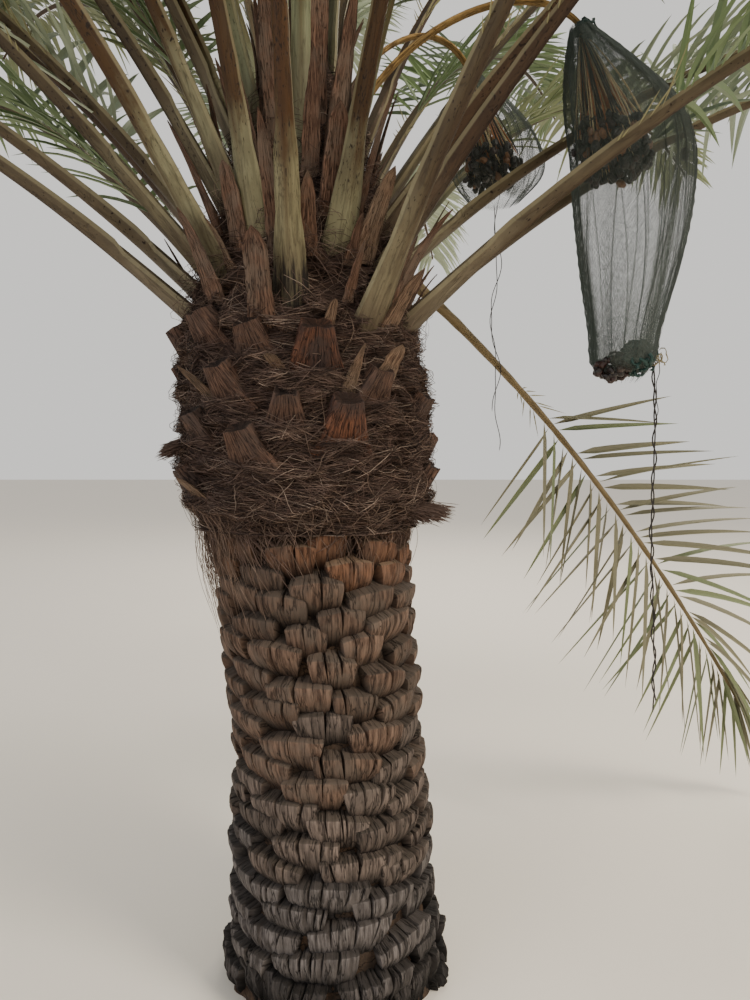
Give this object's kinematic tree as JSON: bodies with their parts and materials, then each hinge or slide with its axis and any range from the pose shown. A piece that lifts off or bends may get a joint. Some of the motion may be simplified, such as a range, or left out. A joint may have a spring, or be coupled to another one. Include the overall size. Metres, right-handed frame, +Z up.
{
  "type": "date palm tree",
  "caption": "Whole young date palm rooted in the ground: stout trunk of cut leaf bases under a collar of brown fibre, arching feather fronds and netted bunches of dates.",
  "frame": {"origin": "middle of the flat cut under the trunk, at ground level", "axes": "+Z up the trunk; -Y towards the viewer of the picture; +X to the viewer's right"},
  "size_m": [6.3229, 5.6157, 4.8485],
  "materials": {
    "trunk_bark": "weathered grey-brown cut leaf bases, dark brown matted fibre above",
    "frond_leaf": "grey-green leaflets on olive and tan stalks",
    "bunch_net": "thin pleated netting, dark green where it is tied",
    "bunch_stalk": "smooth yellow-orange fruit stalk"
  },
  "bodies": {
    "root": {"bunch_large": "bunch_net", "bunch_large_stalk": "bunch_stalk", "bunch_small": "bunch_net", "bunch_small_stalk": "bunch_stalk", "frond_back_1": "frond_leaf", "frond_back_10": "frond_leaf", "frond_back_11": "frond_leaf", "frond_back_12": "frond_leaf", "frond_back_13": "frond_leaf", "frond_back_14": "frond_leaf", "frond_back_15": "frond_leaf", "frond_back_16": "frond_leaf", "frond_back_18": "frond_leaf", "frond_back_2": "frond_leaf", "frond_back_3": "frond_leaf", "frond_back_4": "frond_leaf", "frond_back_5": "frond_leaf", "frond_back_6": "frond_leaf", "frond_back_7": "frond_leaf", "frond_back_8": "frond_leaf", "frond_back_9": "frond_leaf", "frond_front_1": "frond_leaf", "frond_front_10": "frond_leaf", "frond_front_11": "frond_leaf", "frond_front_12": "frond_leaf", "frond_front_13": "frond_leaf", "frond_front_14": "frond_leaf", "frond_front_15": "frond_leaf", "frond_front_16": "frond_leaf", "frond_front_17": "frond_leaf", "frond_front_18": "frond_leaf", "frond_front_19": "frond_leaf", "frond_front_2": "frond_leaf", "frond_front_3": "frond_leaf", "frond_front_4": "frond_leaf", "frond_front_5": "frond_leaf", "frond_front_6": "frond_leaf", "frond_front_7": "frond_leaf", "frond_front_8": "frond_leaf", "frond_front_9": "frond_leaf", "frond_hanging": "frond_leaf", "frond_young_1": "frond_leaf", "frond_young_2": "frond_leaf", "frond_young_3": "frond_leaf", "trunk": "trunk_bark"}
  },
  "joints": []
}
